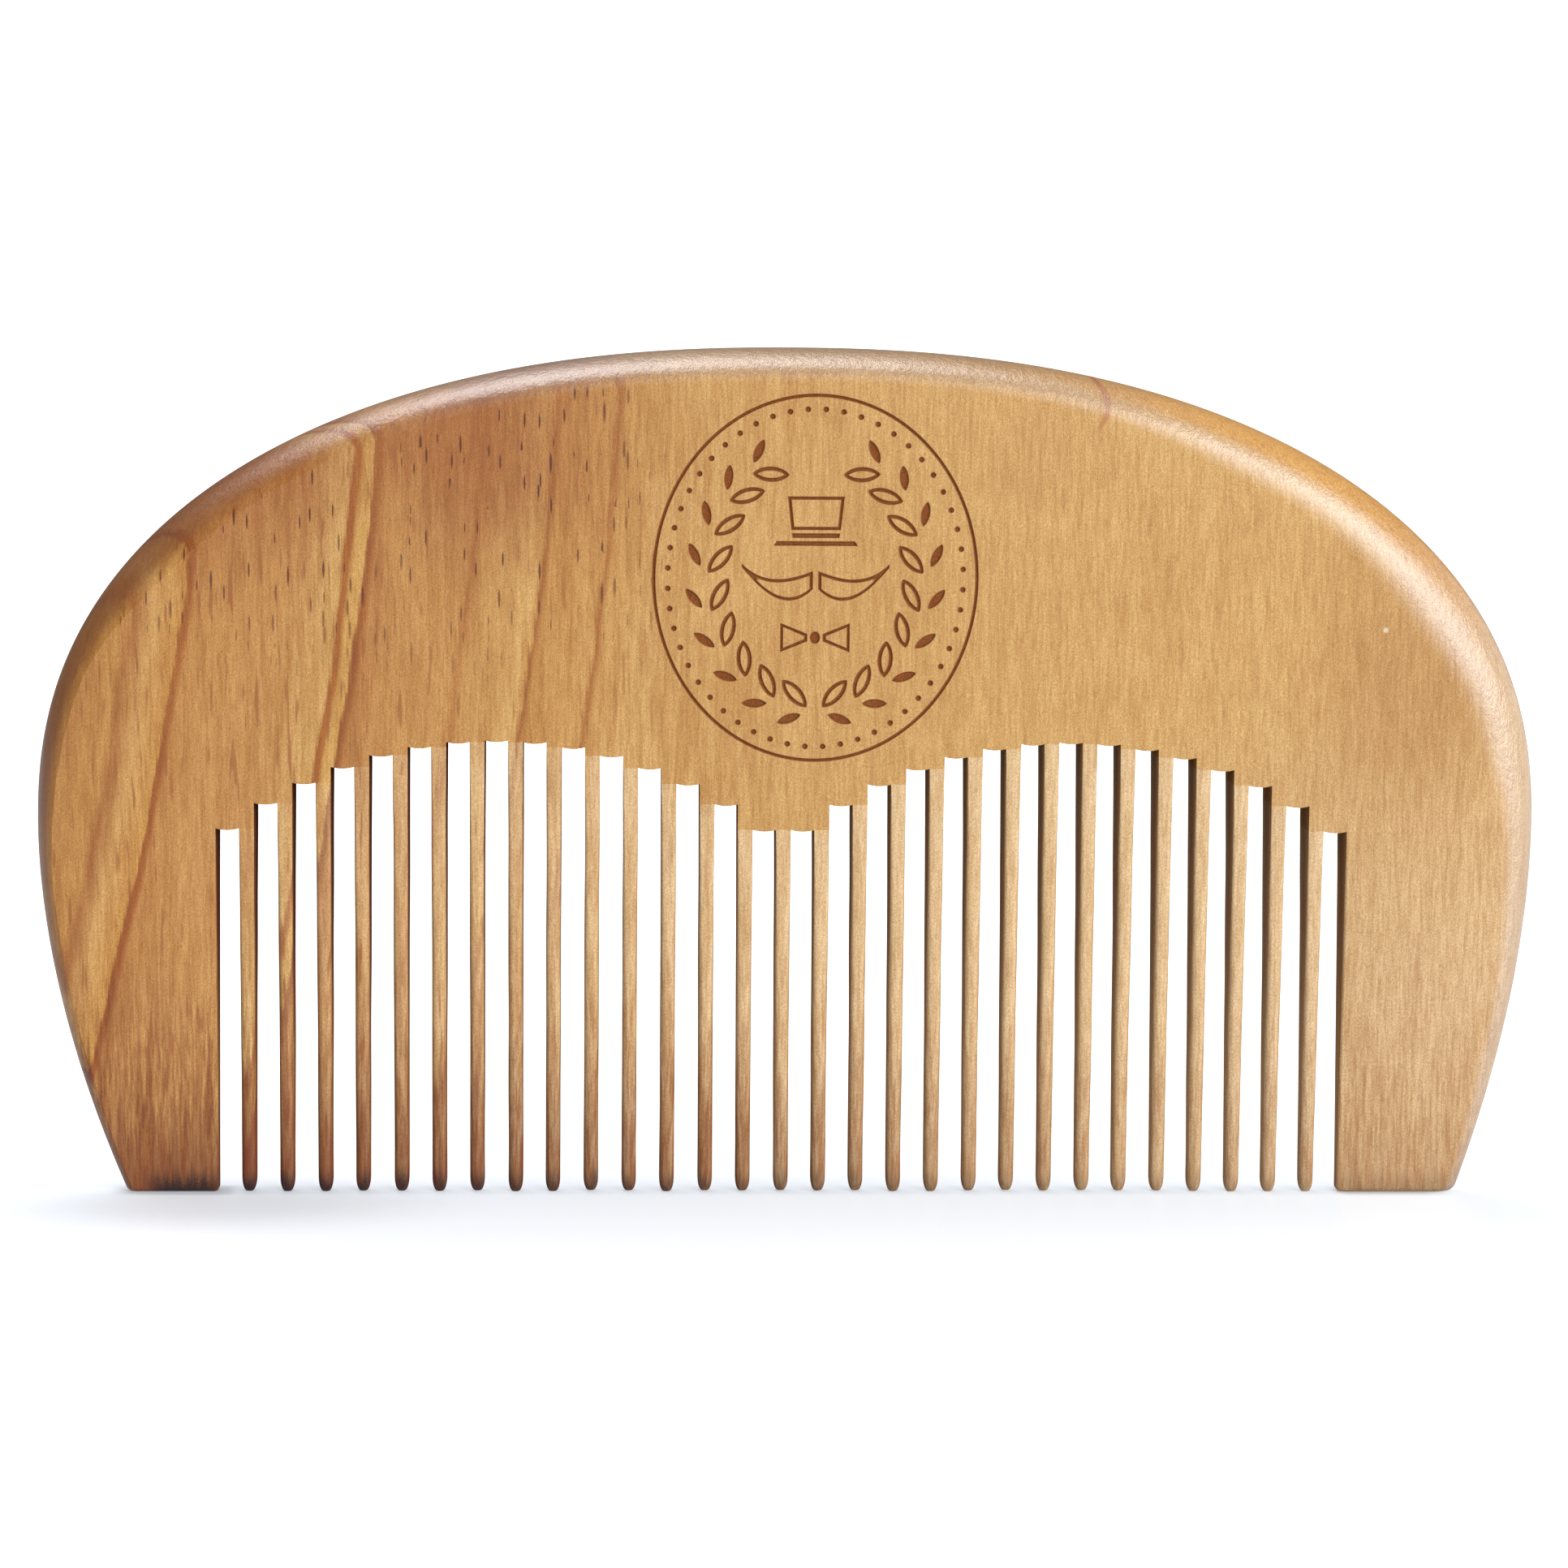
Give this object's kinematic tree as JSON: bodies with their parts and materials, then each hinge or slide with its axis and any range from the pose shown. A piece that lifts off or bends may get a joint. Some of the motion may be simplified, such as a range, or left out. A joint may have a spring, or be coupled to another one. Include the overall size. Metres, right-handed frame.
{
  "type": "beard comb",
  "caption": "Half-moon pocket beard comb in wood, with a thick rounded crown, straight teeth cut in two arched lobes and a solid guard at each end.",
  "frame": {"origin": "on the plane through the tooth tips, below the middle of the comb's length and thickness", "axes": "+X along the comb, to the right as the engraved front face is looked at; +Y from the engraved front face to the plain rear face; +Z from the tooth tips up to the crown"},
  "size_m": [0.105, 0.0082, 0.0595],
  "materials": {
    "body_wood": "satin oiled, honey tan with darker growth rings and a burnt engraved line",
    "tooth_wood": "satin oiled, browner towards the tips, which are stained almost black"
  },
  "bodies": {
    "root": {"back": "body_wood", "guard_left": "body_wood", "guard_right": "body_wood", "tooth_01": "tooth_wood", "tooth_02": "tooth_wood", "tooth_03": "tooth_wood", "tooth_04": "tooth_wood", "tooth_05": "tooth_wood", "tooth_06": "tooth_wood", "tooth_07": "tooth_wood", "tooth_08": "tooth_wood", "tooth_09": "tooth_wood", "tooth_10": "tooth_wood", "tooth_11": "tooth_wood", "tooth_12": "tooth_wood", "tooth_13": "tooth_wood", "tooth_14": "tooth_wood", "tooth_15": "tooth_wood", "tooth_16": "tooth_wood", "tooth_17": "tooth_wood", "tooth_18": "tooth_wood", "tooth_19": "tooth_wood", "tooth_20": "tooth_wood", "tooth_21": "tooth_wood", "tooth_22": "tooth_wood", "tooth_23": "tooth_wood", "tooth_24": "tooth_wood", "tooth_25": "tooth_wood", "tooth_26": "tooth_wood", "tooth_27": "tooth_wood", "tooth_28": "tooth_wood", "tooth_29": "tooth_wood"}
  },
  "joints": []
}
